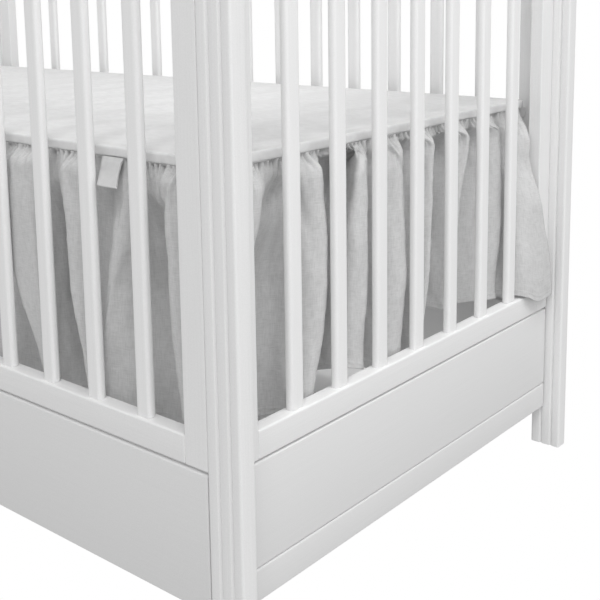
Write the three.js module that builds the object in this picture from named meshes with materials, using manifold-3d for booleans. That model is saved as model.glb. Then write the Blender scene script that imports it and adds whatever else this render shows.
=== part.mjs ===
// A gathered crib skirt hung on a slatted baby crib.
//
// Millimetres, +Z up, origin on the floor under the middle of the crib. The long front side faces -Y and the
// right-hand end faces +X. The crib carries a base board, a flat deck cloth with a turned-down edge band lies on
// the board, and one gathered skirt panel hangs from the band on each of the four sides. The mattress would lie
// on the deck cloth and is left out.
import * as THREE from "three";
import { mergeVertices } from "three/addons/utils/BufferGeometryUtils.js";
import Module from "manifold-3d";

const wasm = await Module();
wasm.setup();

// ---------------------------------------------------------------------------------------------------------
// Driving dimensions
// ---------------------------------------------------------------------------------------------------------
const GAP = 0.3; // between pieces that meet
const CLEAR = 2; // between hanging cloth and a hard edge

const POST = { width: 42, depth: 20, height: 800, radius: 3, grooves: [12.6, 27.6], grooveWidth: 4.5, grooveDepth: 2.2 };
const SLAT = { width: 20, thickness: 10, radius: 3.5 };
const STILE_WIDTH = 29.5;
const RAIL = { bottom: 199, top: 227 }; // the rail that the slats stand on
const BOARD = { bottom: 56, lowGroove: 90 }; // the board below that rail, and its lower groove at the ends
const TOP_RAIL = { bottom: 758, top: 790 };

// edge is the radius of the rails' and boards' long edges: two that meet make a groove
const SIDE = { slats: 15, pitch: 74, endGap: 52, thickness: 18.5, setback: 1, edge: 2.8 };
const END = { slats: 7, pitch: 72, endGap: 53, thickness: 17, setback: 23.3, edge: 2 };

const BASE = { thickness: 9, top: 480.5, corner: 6 };
const HANGER = { length: 22, depth: 24, drop: 13.5, inset: 4 };
const CLOTH = 1.5; // the deck and the skirt
const DECK_TOP = 482.3;
const SEAM_Z = 471.7; // where the skirt meets the band
const DROP = 264.7; // from the seam to the plain hem
const TONGUE = 0.35; // the share of a valley's turn over which the cloth still hangs flat under the seam
const SIDE_BAND_DEPTH = 32.4; // from the posts' outer face to the band's, on the long sides
const END_BAND_DEPTH = 55.5; // the same at the ends
const LABEL_THICKNESS = 0.8;

// Overall size, worked out from the slats and their gaps
function span(frame, post) {
  return 2 * (post + STILE_WIDTH + frame.endGap + SLAT.width / 2) + (frame.slats - 1) * frame.pitch;
}
const LENGTH = span(SIDE, POST.width);
const WIDTH = span(END, POST.depth);
const BAND_X = LENGTH / 2 - END_BAND_DEPTH;
const BAND_Y = WIDTH / 2 - SIDE_BAND_DEPTH;

// ---------------------------------------------------------------------------------------------------------
// Fold tables
// ---------------------------------------------------------------------------------------------------------
// One row for each ridge or valley of a panel, in order along it. The first four columns are distances along
// the panel at the seam, at the turn, halfway down and at the hem. The next three are how far the cloth
// stands out from the band (a valley is negative) at the turn, halfway and the hem. turn is how far below the
// seam the fold is fully formed, and lift is how far its hem rides above the plain hem.
const COLUMNS = ["seam", "upper", "middle", "hem", "bulge", "belly", "flare", "turn", "lift"];

const FRONT_FOLDS = [
  [32, 30, 24, 20, 3, 4, 4, 30, 0],
  [52, 55, 49, 40, 12, 13, 9, 26, 3],
  [86, 84, 88, 82, -22, -36, -30, 76, -10],
  [112, 116, 135, 156, 12, 14, 9, 66, 0],
  [158, 156, 164, 174, -3, -9, -3, 60, -5],
  [196, 204, 199, 181, 13, 14, 9, 24, 1],
  [226, 232, 238, 226, -40, -54, -47, 80, -8],
  [258, 262, 254, 238, 12, 14, 8, 24, 0],
  [296, 305, 296, 258, 13, 15, 8, 28, 0],
  [336, 332, 326, 300, -20, -30, -24, 56, -8],
];

const RIGHT_FOLDS = [
  [4, 2, -2, -4, 4, 5, 5, 30, 0],
  [53, 49, 22, 12, 14, 9, 8, 32, 0],
  [76, 76, 60, 50, -14, -34, -30, 52, -8],
  [104, 104, 100, 96, -16, -35, -34, 42, -10],
  [124, 123, 122, 108, 7, 8, 4, 30, -4],
  [138, 141, 146, 126, 14, 15, 11, 20, -2],
  [154, 164, 168, 154, -28, -34, -30, 22, 13],
  [198, 224, 186, 176, -34, -38, -26, 22, 17],
  [212, 196, 185, 182, 12, 14, 10, 42, 26],
  [216, 216, 216, 212, 14, 15, 11, 22, 16],
  [236, 240, 242, 238, -24, -30, -24, 34, 6],
  [264, 262, 258, 256, 3, 5, 4, 40, 0],
  [285, 286, 289, 284, 13, 15, 11, 24, 0],
  [300, 306, 312, 308, -26, -34, -28, 22, -4],
  [334, 347, 340, 327, 13, 15, 11, 22, 3],
  [368, 380, 378, 368, -34, -42, -36, 34, 36],
  [408, 424, 405, 396, 14, 9, 5, 24, 35],
  [444, 448, 440, 436, -30, -14, -8, 34, 30],
  [474, 501, 506, 500, 14, 14, 9, 24, 24],
  [510, 517, 518, 516, -8, -6, 2, 30, 24],
  [528, 529, 529, 528, 4, 14, 26, 44, 24.5],
  [540, 541, 540, 539, 8, 24, 41, 54, 21],
  [558, 555, 554, 560, 14, 34, 43.5, 60, 12],
  [578, 568, 572, 597, 21, 39, 44, 62, 13],
];

// Plain folds for the stretches that nothing tells apart: their spacing and depth wander slowly.
const PLAIN = { spacing: 74, wander: 7, ridge: 12, valley: -30, sway: 9 };

function foldRows(table) {
  return table.map((values) => Object.fromEntries(COLUMNS.map((name, i) => [name, values[i]])));
}

function plainRows(from, to, phase, startsFree = true) {
  const count = 2 * Math.round((to - from) / PLAIN.spacing);
  return Array.from({ length: count + 1 }, (_, i) => {
    const ridge = i % 2 === 0;
    const inside = (i > 0 || !startsFree) && i < count ? 1 : 0;
    const wave = Math.sin(1.7 * i + phase);
    const slow = Math.sin(0.61 * i + 2.3 * phase);
    const seam = from + ((to - from) * i) / count + inside * PLAIN.wander * wave;
    const depth = (ridge ? PLAIN.ridge : PLAIN.valley) * (1 + 0.22 * slow);
    return {
      seam,
      upper: seam + inside * 0.4 * PLAIN.sway * slow,
      middle: seam + inside * PLAIN.sway * slow,
      hem: seam + inside * PLAIN.sway * (slow - wave),
      bulge: inside ? 0.85 * depth : 3,
      belly: inside ? depth : 4,
      flare: inside ? 0.75 * depth : 4,
      turn: ridge ? 25 + 5 * slow : 40 + 8 * wave,
      lift: 2.5 * slow - (ridge ? 0 : 8),
    };
  });
}

// ---------------------------------------------------------------------------------------------------------
// Curves
// ---------------------------------------------------------------------------------------------------------
function smoothstep(x) {
  const t = Math.min(Math.max(x, 0), 1);
  return t * t * (3 - 2 * t);
}

// A curve through the points (xs, ys) that doesn't overshoot them
function monotone(xs, ys, x) {
  const last = xs.length - 1;
  const slopes = xs.slice(1).map((_, i) => (ys[i + 1] - ys[i]) / (xs[i + 1] - xs[i]));
  const tangent = (i) => {
    if (i === 0 || i === last || slopes[i - 1] * slopes[i] <= 0) {
      return 0;
    }
    return (2 * slopes[i - 1] * slopes[i]) / (slopes[i - 1] + slopes[i]);
  };
  let i = 0;
  while (i < last - 1 && x > xs[i + 1]) {
    i += 1;
  }
  const width = xs[i + 1] - xs[i];
  const t = Math.min(Math.max((x - xs[i]) / width, 0), 1);
  const a = ys[i] * (1 + 2 * t) * (1 - t) ** 2 + ys[i + 1] * t * t * (3 - 2 * t);
  return a + width * (tangent(i) * t * (1 - t) ** 2 - tangent(i + 1) * t * t * (1 - t));
}

function catmullRom(a, b, c, d, t) {
  const curve = 2 * b + (c - a) * t + (2 * a - 5 * b + 4 * c - d) * t * t + (3 * b - a - 3 * c + d) * t ** 3;
  return curve / 2;
}

// Where one fold row lies, a height h below the seam. A ridge swells out fast under the seam. A valley keeps
// close to it at first, so a short tongue of cloth hangs between two ridges.
function rowPoint(row, h) {
  const stations = [0, row.turn, DROP / 2, DROP];
  const along = monotone(stations, [row.seam, row.upper, row.middle, row.hem], h);
  const grown = smoothstep(h / row.turn);
  const swell = row.bulge > 0 ? 1 - (1 - grown) ** 2 : smoothstep((h / row.turn - TONGUE) / (1 - TONGUE));
  const out = h < row.turn ? row.bulge * swell : monotone(stations.slice(1), [row.bulge, row.belly, row.flare], h);
  return { along, out, lift: row.lift };
}

// A point of the panel's middle surface: k runs along the rows, and h is the height below the seam.
function sheetPoint(panel, k, h) {
  const last = panel.rows.length - 1;
  const i = Math.min(Math.floor(k), last - 1);
  const near = [-1, 0, 1, 2].map((step) => rowPoint(panel.rows[Math.min(Math.max(i + step, 0), last)], h));
  const blend = (key) => catmullRom(...near.map((point) => point[key]), k - i);
  const z = SEAM_Z - (h * (DROP - blend("lift"))) / DROP;
  const reach = z < RAIL.top + CLEAR ? panel.hemReach : panel.reach;
  const tucked = k < panel.freeFrom ? Math.min(blend("out"), reach) : blend("out");
  return { along: blend("along"), out: tucked, z };
}

// ---------------------------------------------------------------------------------------------------------
// Solids
// ---------------------------------------------------------------------------------------------------------
function toManifold(geometry) {
  const bare = new THREE.BufferGeometry();
  bare.setAttribute("position", geometry.getAttribute("position"));
  bare.setIndex(geometry.getIndex());
  const merged = mergeVertices(bare, 1e-4);
  const mesh = new wasm.Mesh({
    numProp: 3,
    vertProperties: new Float32Array(merged.getAttribute("position").array),
    triVerts: new Uint32Array(merged.getIndex().array),
  });
  return new wasm.Manifold(mesh);
}

function toGeometry(solid) {
  const mesh = solid.getMesh();
  const geometry = new THREE.BufferGeometry();
  geometry.setAttribute("position", new THREE.BufferAttribute(new Float32Array(mesh.vertProperties), 3));
  geometry.setIndex(new THREE.BufferAttribute(new Uint32Array(mesh.triVerts), 1));
  return geometry;
}

function joined(geometries) {
  return geometries.map(toManifold).reduce((sum, solid) => sum.add(solid));
}

function roundedRectangle(width, depth, radius) {
  const x = width / 2 - radius;
  const y = depth / 2 - radius;
  const shape = new THREE.Shape();
  shape.absarc(x, -y, radius, -Math.PI / 2, 0);
  shape.absarc(x, y, radius, 0, Math.PI / 2);
  shape.absarc(-x, y, radius, Math.PI / 2, Math.PI);
  shape.absarc(-x, -y, radius, Math.PI, 1.5 * Math.PI);
  shape.closePath();
  return shape;
}

function extruded(shape, height, curveSegments) {
  return new THREE.ExtrudeGeometry(shape, { depth: height, bevelEnabled: false, curveSegments });
}

// An upright bar with rounded long edges, its foot at z = 0
function uprightBar(width, depth, height, radius, curveSegments) {
  return extruded(roundedRectangle(width, depth, radius), height, curveSegments);
}

// A bar lying along X with rounded long edges, from z = low to z = high
function lyingBar(length, depth, low, high, radius) {
  const bar = uprightBar(high - low, depth, length, radius, 2);
  bar.rotateY(Math.PI / 2);
  return bar.translate(-length / 2, 0, (low + high) / 2);
}

function box(width, depth, low, high) {
  return new THREE.BoxGeometry(width, depth, high - low).translate(0, 0, (low + high) / 2);
}

// A corner post: two V grooves down each broad face, counted from the outer narrow face at +X
function postShape() {
  const { width, depth, radius, grooves, grooveWidth, grooveDepth } = POST;
  const x = width / 2;
  const y = depth / 2;
  const shape = new THREE.Shape();
  const notch = (at, face) => {
    shape.lineTo(at + (face * grooveWidth) / 2, face * y);
    shape.lineTo(at, face * (y - grooveDepth));
    shape.lineTo(at - (face * grooveWidth) / 2, face * y);
  };
  shape.absarc(x - radius, -y + radius, radius, -Math.PI / 2, 0);
  shape.absarc(x - radius, y - radius, radius, 0, Math.PI / 2);
  grooves.forEach((inset) => notch(x - inset, 1));
  shape.absarc(-x + radius, y - radius, radius, Math.PI / 2, Math.PI);
  shape.absarc(-x + radius, -y + radius, radius, Math.PI, 1.5 * Math.PI);
  [...grooves].reverse().forEach((inset) => notch(x - inset, -1));
  shape.closePath();
  return shape;
}

// One glued-up frame between two posts, standing in the XZ plane: a top rail, two stiles, the rail that the
// slats stand on and the board under it, round-edged, on a thinner core that leaves a fine joint between them
function frameGeometry(length, { thickness, edge: radius }, hasLowGroove) {
  const window = length - 2 * STILE_WIDTH;
  const edges = hasLowGroove ? [BOARD.bottom, BOARD.lowGroove, RAIL.bottom] : [BOARD.bottom, RAIL.bottom];
  const boards = edges.slice(1).map((high, i) => lyingBar(length, thickness, edges[i], high, radius));
  const stiles = [-1, 1].map((side) => {
    const bar = uprightBar(STILE_WIDTH, thickness, TOP_RAIL.top - RAIL.bottom - radius, radius, 2);
    return bar.translate((side * (length - STILE_WIDTH)) / 2, 0, RAIL.bottom);
  });
  const rails = [
    lyingBar(window, thickness, RAIL.bottom, RAIL.top, radius),
    lyingBar(window, thickness, TOP_RAIL.bottom, TOP_RAIL.top, radius),
  ];
  const core = toManifold(box(length, thickness - 2 * radius, BOARD.bottom + radius, TOP_RAIL.top - radius));
  const opening = toManifold(box(window, thickness, RAIL.top - radius, TOP_RAIL.bottom + radius));
  return toGeometry(core.subtract(opening).add(joined([...boards, ...stiles, ...rails])));
}

// The base board, with a hanger under each corner that reaches out to the long side's frame
function baseGeometry() {
  const inset = CLOTH + GAP;
  const low = BASE.top - BASE.thickness;
  const outline = roundedRectangle(2 * (BAND_X - inset), 2 * (BAND_Y - inset), BASE.corner);
  const board = extruded(outline, BASE.thickness, 3).translate(0, 0, low);
  const hangerX = BAND_X - inset - HANGER.inset - HANGER.length / 2;
  const inner = BAND_Y - HANGER.depth;
  const blocks = (outer, high) =>
    [-1, 1].flatMap((x) =>
      [-1, 1].map((y) => {
        const block = box(HANGER.length, outer - inner, low - HANGER.drop, high);
        return block.translate(x * hangerX, (y * (inner + outer)) / 2, 0);
      }),
    );
  const frameFace = WIDTH / 2 - SIDE.setback - SIDE.thickness - GAP;
  const hangers = blocks(frameFace, low - GAP);
  const pads = blocks(BAND_Y - inset - 1, low + 1);
  return toGeometry(joined([board, ...hangers, ...pads]));
}

// The deck cloth lies on the board, and its edge turns down over it as a narrow band
function deckGeometry() {
  const low = SEAM_Z + GAP;
  const height = DECK_TOP - low;
  const outside = extruded(roundedRectangle(2 * BAND_X, 2 * BAND_Y, BASE.corner + CLOTH), height, 3);
  const inside = roundedRectangle(2 * (BAND_X - CLOTH), 2 * (BAND_Y - CLOTH), BASE.corner);
  const hollow = toManifold(extruded(inside, height, 3).translate(0, 0, low - CLOTH));
  return toGeometry(toManifold(outside.translate(0, 0, low)).subtract(hollow));
}

// A closed sheet on a grid of middle points, each { point, normal }. A row of the grid runs along the cloth,
// the rows run down it, and the normals point out of the crib. mirrored is for a left-handed grid.
function sheetGeometry(grid, thickness, mirrored) {
  const rows = grid.length;
  const columns = grid[0].length;
  const positions = [0.5, -0.5].flatMap((side) =>
    grid.flat().flatMap(({ point, normal }) => point.clone().addScaledVector(normal, side * thickness).toArray()),
  );
  const at = (face, row, column) => face * rows * columns + row * columns + column;
  const index = [];
  const quad = (a, b, c, d) => index.push(...(mirrored ? [a, c, b, a, d, c] : [a, b, c, a, c, d]));
  const lastRow = rows - 1;
  const lastColumn = columns - 1;
  for (let r = 0; r < lastRow; r += 1) {
    for (let c = 0; c < lastColumn; c += 1) {
      quad(at(0, r, c), at(0, r, c + 1), at(0, r + 1, c + 1), at(0, r + 1, c));
      quad(at(1, r, c), at(1, r + 1, c), at(1, r + 1, c + 1), at(1, r, c + 1));
    }
    quad(at(0, r, 0), at(0, r + 1, 0), at(1, r + 1, 0), at(1, r, 0));
    quad(at(0, r, lastColumn), at(1, r, lastColumn), at(1, r + 1, lastColumn), at(0, r + 1, lastColumn));
  }
  for (let c = 0; c < lastColumn; c += 1) {
    quad(at(0, 0, c), at(1, 0, c), at(1, 0, c + 1), at(0, 0, c + 1));
    quad(at(0, lastRow, c), at(0, lastRow, c + 1), at(1, lastRow, c + 1), at(1, lastRow, c));
  }
  const geometry = new THREE.BufferGeometry();
  geometry.setAttribute("position", new THREE.Float32BufferAttribute(positions, 3));
  geometry.setIndex(index);
  return geometry;
}

// ---------------------------------------------------------------------------------------------------------
// Skirt panels
// ---------------------------------------------------------------------------------------------------------
const LEVELS = [0, 0.05, 0.13, 0.28, 0.5, 0.75, 1]; // of the drop
const STEPS = 3; // columns between two fold rows
const UP = new THREE.Vector3(0, 0, 1);

// How far out a panel may stand before it would touch the slats, and the thicker frame near the hem
function reaches({ setback, thickness }, bandDepth) {
  const margin = CLEAR + CLOTH / 2;
  const bandMiddle = bandDepth + CLOTH / 2;
  return {
    reach: bandMiddle - (setback + thickness / 2 + SLAT.thickness / 2) - margin,
    hemReach: bandMiddle - (setback + thickness) - margin,
  };
}

const SIDE_REACH = reaches(SIDE, SIDE_BAND_DEPTH);
const END_REACH = reaches(END, END_BAND_DEPTH);
const START = FRONT_FOLDS[0][0]; // the long panels leave the corners free for the hangers
const FINISH = 2 * (BAND_X - 2) - START;
const FRONT_ROWS = foldRows(FRONT_FOLDS);
const PLAIN_START = FRONT_ROWS.at(-1).seam + PLAIN.spacing / 2;
const FLAP_ROWS = 5; // the last rows of the right panel, pulled out past the slats

// Each panel: where it starts, which way it runs and which way is out of the crib
const PANELS = [
  {
    name: "skirt_front",
    rows: [...FRONT_ROWS, ...plainRows(PLAIN_START, FINISH, 0.8, false)],
    freeFrom: Infinity,
    ...SIDE_REACH,
    start: new THREE.Vector3(BAND_X - 2, -BAND_Y + CLOTH / 2, 0),
    along: new THREE.Vector3(-1, 0, 0),
    outward: new THREE.Vector3(0, -1, 0),
  },
  {
    name: "skirt_back",
    rows: plainRows(START, FINISH, 2.9),
    freeFrom: Infinity,
    ...SIDE_REACH,
    start: new THREE.Vector3(-BAND_X + 2, BAND_Y - CLOTH / 2, 0),
    along: new THREE.Vector3(1, 0, 0),
    outward: new THREE.Vector3(0, 1, 0),
  },
  {
    name: "skirt_right",
    rows: foldRows(RIGHT_FOLDS),
    freeFrom: RIGHT_FOLDS.length - FLAP_ROWS,
    ...END_REACH,
    start: new THREE.Vector3(BAND_X - CLOTH / 2, -BAND_Y, 0),
    along: new THREE.Vector3(0, 1, 0),
    outward: new THREE.Vector3(1, 0, 0),
  },
  {
    name: "skirt_left",
    rows: plainRows(5, 2 * BAND_Y - 5, 1.7),
    freeFrom: Infinity,
    ...END_REACH,
    start: new THREE.Vector3(-BAND_X + CLOTH / 2, BAND_Y, 0),
    along: new THREE.Vector3(0, -1, 0),
    outward: new THREE.Vector3(-1, 0, 0),
  },
];

function inPanel({ start, along, outward }, distance, out, z) {
  return start.clone().addScaledVector(along, distance).addScaledVector(outward, out).setZ(z);
}

function isMirrored({ along, outward }) {
  return along.clone().cross(outward).dot(UP) < 0;
}

function panelGeometry(panel) {
  const last = panel.rows.length - 1;
  const columns = Array.from({ length: last * STEPS + 1 }, (_, i) => i / STEPS);
  const grid = LEVELS.map((level) => {
    const at = (k) => sheetPoint(panel, Math.min(Math.max(k, 0), last), level * DROP);
    return columns.map((k) => {
      const { along, out, z } = at(k);
      const before = at(k - 1 / STEPS);
      const after = at(k + 1 / STEPS);
      const normal = new THREE.Vector3()
        .addScaledVector(panel.along, before.out - after.out)
        .addScaledVector(panel.outward, after.along - before.along)
        .normalize();
      return { point: inPanel(panel, along, out, z), normal };
    });
  });
  return sheetGeometry(grid, CLOTH, isMirrored(panel));
}

// The folded label is bare. It hangs from the front seam and its foot pokes out between two slats. Each row:
// distance along the front panel at its right and its left edge, how far it stands out, and its height.
const LABEL_ROWS = [
  [119.5, 151.4, 2.6, SEAM_Z],
  [116.6, 145.2, 10, 463.8],
  [111.8, 139.8, 17, 456],
  [104.6, 134, 25, 448.3],
];

function labelGeometry(panel) {
  const normal = panel.outward.clone().add(UP.clone().multiplyScalar(0.7)).normalize();
  const grid = LABEL_ROWS.map(([right, left, out, z]) =>
    [right, (right + left) / 2, left].map((distance) => ({ point: inPanel(panel, distance, out, z), normal })),
  );
  return sheetGeometry(grid, LABEL_THICKNESS, isMirrored(panel));
}

// ---------------------------------------------------------------------------------------------------------
// Materials
// ---------------------------------------------------------------------------------------------------------
const PAINT = { color: "#f1f1f0", roughness: 0.4, metalness: 0 };
const LINEN = { color: "#c4c3c2", roughness: 0.95, metalness: 0 };
const WHITE_COTTON = { color: "#efeeec", roughness: 0.9, metalness: 0 };
const RIBBON = { color: "#f4f3f0", roughness: 0.8, metalness: 0 };

// ---------------------------------------------------------------------------------------------------------
// The scene graph
// ---------------------------------------------------------------------------------------------------------
const part = new THREE.Group();

function place(parent, name, geometry, finish) {
  const mesh = new THREE.Mesh(geometry, new THREE.MeshStandardMaterial(finish));
  mesh.name = name;
  parent.add(mesh);
  return mesh;
}

for (const [name, x, y] of [
  ["post_front_right", 1, -1],
  ["post_front_left", -1, -1],
  ["post_back_right", 1, 1],
  ["post_back_left", -1, 1],
]) {
  const post = place(part, name, extruded(postShape(), POST.height, 3), PAINT);
  post.position.set((x * (LENGTH - POST.width)) / 2, (y * (WIDTH - POST.depth)) / 2, 0);
  post.rotation.z = x > 0 ? 0 : Math.PI;
}

// A side of the crib: its frame and the slats that stand in it. In the group, x runs along the side and -y
// points out of the crib. outer is the distance from the middle of the crib to the posts' outer faces.
function addSide(name, side, postWidth, outer, turn, hasLowGroove) {
  const group = new THREE.Group();
  group.rotation.z = turn;
  part.add(group);
  const length = span(side, postWidth) - 2 * (postWidth + GAP);
  const middle = outer - side.setback - side.thickness / 2;
  const frame = place(group, `frame_${name}`, frameGeometry(length, side, hasLowGroove), PAINT);
  frame.position.y = -middle;
  const height = TOP_RAIL.bottom - RAIL.top - 2 * GAP;
  for (let i = 0; i < side.slats; i += 1) {
    const slat = uprightBar(SLAT.width, SLAT.thickness, height, SLAT.radius, 2);
    const mesh = place(group, `slat_${name}_${String(i + 1).padStart(2, "0")}`, slat, PAINT);
    mesh.position.set((i - (side.slats - 1) / 2) * side.pitch, -middle, RAIL.top + GAP);
  }
}

addSide("front", SIDE, POST.width, WIDTH / 2, 0, false);
addSide("back", SIDE, POST.width, WIDTH / 2, Math.PI, false);
addSide("right", END, POST.depth, LENGTH / 2, Math.PI / 2, true);
addSide("left", END, POST.depth, LENGTH / 2, -Math.PI / 2, true);

place(part, "base_board", baseGeometry(), PAINT);
place(part, "deck", deckGeometry(), WHITE_COTTON);
for (const panel of PANELS) {
  place(part, panel.name, panelGeometry(panel), LINEN);
}
place(part, "label", labelGeometry(PANELS[0]), RIBBON);

export default part;
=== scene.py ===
"""A gathered crib skirt hanging in a slatted crib: the fine model, dressed and lit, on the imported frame."""

import logging
import math
from dataclasses import dataclass
from enum import Enum

import bpy
import numpy as np
from mathutils import Matrix, Vector


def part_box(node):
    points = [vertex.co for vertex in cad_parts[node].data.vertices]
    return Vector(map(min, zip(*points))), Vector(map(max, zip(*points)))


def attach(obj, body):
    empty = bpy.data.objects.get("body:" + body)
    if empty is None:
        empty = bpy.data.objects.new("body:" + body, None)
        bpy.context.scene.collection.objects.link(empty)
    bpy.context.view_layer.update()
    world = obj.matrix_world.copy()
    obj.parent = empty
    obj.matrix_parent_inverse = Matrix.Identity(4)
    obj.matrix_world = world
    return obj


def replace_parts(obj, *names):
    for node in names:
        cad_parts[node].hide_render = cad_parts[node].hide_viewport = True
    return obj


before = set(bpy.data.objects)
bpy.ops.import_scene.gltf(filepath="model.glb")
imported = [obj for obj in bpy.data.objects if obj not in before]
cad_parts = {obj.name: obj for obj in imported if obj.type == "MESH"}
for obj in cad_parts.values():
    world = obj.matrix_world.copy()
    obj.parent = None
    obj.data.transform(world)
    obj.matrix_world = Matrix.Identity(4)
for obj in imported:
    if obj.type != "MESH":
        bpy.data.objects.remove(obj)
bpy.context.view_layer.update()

LOG = logging.getLogger("crib_skirt")
MM = 0.001  # metres in a millimetre
BODY = "root"
QUARTER = math.pi / 2
ARC = np.linspace(0, QUARTER, 7)  # where the points of a rounded edge lie
Array = np.ndarray
Pair = tuple[float, float]
Piece = bpy.types.Object
Tree = bpy.types.NodeTree
Node = bpy.types.Node
Drawn = tuple[list[tuple[Node, str]], Node]  # the share of each further tone, and the relief's height


# ---- Colour and nodes ----
def linear(hex_colour: str) -> tuple[float, float, float, float]:
    """Turn an sRGB hex colour, "#rrggbb", into linear RGBA."""
    channels = [int(hex_colour[i : i + 2], 16) / 255 for i in (1, 3, 5)]
    return (*[c / 12.92 if c <= 0.04045 else ((c + 0.055) / 1.055) ** 2.4 for c in channels], 1.0)


def empty_tree(owner: bpy.types.ID) -> Tree:
    """Take over the node tree of a material or a world.

    Args:
        owner: The material or world.

    Returns:
        Its node tree, emptied.
    """
    owner.use_nodes = True
    owner.node_tree.nodes.clear()
    return owner.node_tree


def add_node(tree: Tree, kind: str, inputs: dict | None = None, **settings: object) -> Node:
    """Add one node with its settings and links.

    Args:
        tree: The node tree that gets it.
        kind: The node's type, without its "ShaderNode" prefix.
        inputs: A value, a socket, or a node for its first output, by the input's name or number.
        **settings: The node's own properties.

    Returns:
        The new node.
    """
    node = tree.nodes.new("ShaderNode" + kind)
    for name, value in settings.items():
        setattr(node, name, value)
    for key, value in (inputs or {}).items():
        if isinstance(value, Node):
            value = value.outputs[0]
        if isinstance(value, bpy.types.NodeSocket):
            tree.links.new(value, node.inputs[key])
        else:
            node.inputs[key].default_value = value
    return node


def streaks(tree: Tree, size: Pair, distortion: float = 0.0) -> Node:
    """Draw soft random streaks on the surface.

    Args:
        tree: The material's node tree.
        size: How large they are each way, in millimetres.
        distortion: How much they are bent.

    Returns:
        The node that draws them.
    """
    scale = (1 / (size[0] * MM), 1 / (size[1] * MM), 1)
    space = add_node(tree, "Mapping", {"Vector": add_node(tree, "UVMap", uv_map="surface"), "Scale": scale})
    hills = {"Vector": space, "Scale": 1.0, "Detail": 2.0, "Distortion": distortion}
    return add_node(tree, "TexNoise", hills)


def thread_waves(tree: Tree, spacing: Pair, operation: str) -> Node:
    """Draw even waves both ways across the cloth.

    Args:
        tree: The material's node tree.
        spacing: How many millimetres they are apart, along and down the cloth.
        operation: How the two are put together.

    Returns:
        The node that puts them together.
    """
    parts = add_node(tree, "SeparateXYZ", {0: add_node(tree, "UVMap", uv_map="surface")}).outputs
    waves = []
    for part, gap in zip(parts, spacing):
        turns = add_node(tree, "Math", {0: part, 1: 2 * math.pi / (gap * MM)}, operation="MULTIPLY")
        waves.append(add_node(tree, "Math", {0: turns}, operation="SINE"))
    return add_node(tree, "Math", dict(enumerate(waves)), operation=operation)


@dataclass(frozen=True)
class Finish:
    """What every finish has. Each kind draws its own pattern, with its sizes in millimetres."""

    name: str
    slot: str
    roughness: float
    colour: str
    shade: str  # the darker tone that comes and goes
    relief: Pair  # how strongly the pattern shades, and how deep it is in millimetres
    sheen: Pair = (0.0, 0.5)  # weight and roughness of the fuzz

    def pattern(self, tree: Tree) -> Drawn:
        """Draw how much of each further tone shows where, and the height of the relief."""
        raise NotImplementedError

    def material(self) -> bpy.types.Material:
        """Find the material, or make it on its first use.

        Returns:
            The finished material.
        """
        if self.name in bpy.data.materials:
            return bpy.data.materials[self.name]
        material = bpy.data.materials.new(self.name)
        tree = empty_tree(material)
        tones, height = self.pattern(tree)
        colour = linear(self.colour)
        for share, tone in tones:
            blend = {0: share, 6: colour, 7: linear(tone)}
            colour = add_node(tree, "Mix", blend, data_type="RGBA").outputs[2]
        strength, depth = self.relief
        bump = add_node(tree, "Bump", {"Height": height, "Strength": strength, "Distance": depth * MM})
        inputs = {"Base Color": colour, "Normal": bump, "Roughness": self.roughness}
        inputs |= {"Sheen Weight": self.sheen[0], "Sheen Roughness": self.sheen[1]}
        add_node(tree, "OutputMaterial", {"Surface": add_node(tree, "BsdfPrincipled", inputs)})
        return material

    def mount(self, piece: Piece, *nodes: str) -> Piece:
        """Give a piece this finish, let it ride on the body, and hide the CAD nodes that it replaces.

        Args:
            piece: The piece.
            *nodes: The CAD nodes that it replaces.

        Returns:
            The piece.
        """
        piece.data.materials.clear()
        piece.data.materials.append(self.material())
        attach(piece, BODY)
        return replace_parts(piece, *nodes) if nodes else piece


@dataclass(frozen=True)
class SatinLacquer(Finish):
    """White satin lacquer sprayed on wood: a smooth soft sheen with only a hint of grain and of dust."""

    relief: Pair = (0.25, 0.02)
    grain: Pair = (1.8, 90.0)  # width and length of the grain that shows through
    speckle: float = 1.1  # the sprayed surface's fine unevenness

    def pattern(self, tree: Tree) -> Drawn:
        """Lay a faint grain over an even finer speckle.

        Args:
            tree: The material's node tree.

        Returns:
            The share of each further tone, and the height.
        """
        place = add_node(tree, "TexCoord").outputs["Object"]
        specks = {"Vector": place, "Scale": 1 / (self.speckle * MM), "Detail": 1.0}
        both = {0: streaks(tree, self.grain), 1: 0.7, 2: add_node(tree, "TexNoise", specks)}
        height = add_node(tree, "Math", both, operation="MULTIPLY_ADD")
        shaded = add_node(tree, "MapRange", {"Value": height, "From Min": 0.55, "From Max": 1.15})
        return [(shaded, self.shade)], height


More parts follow.
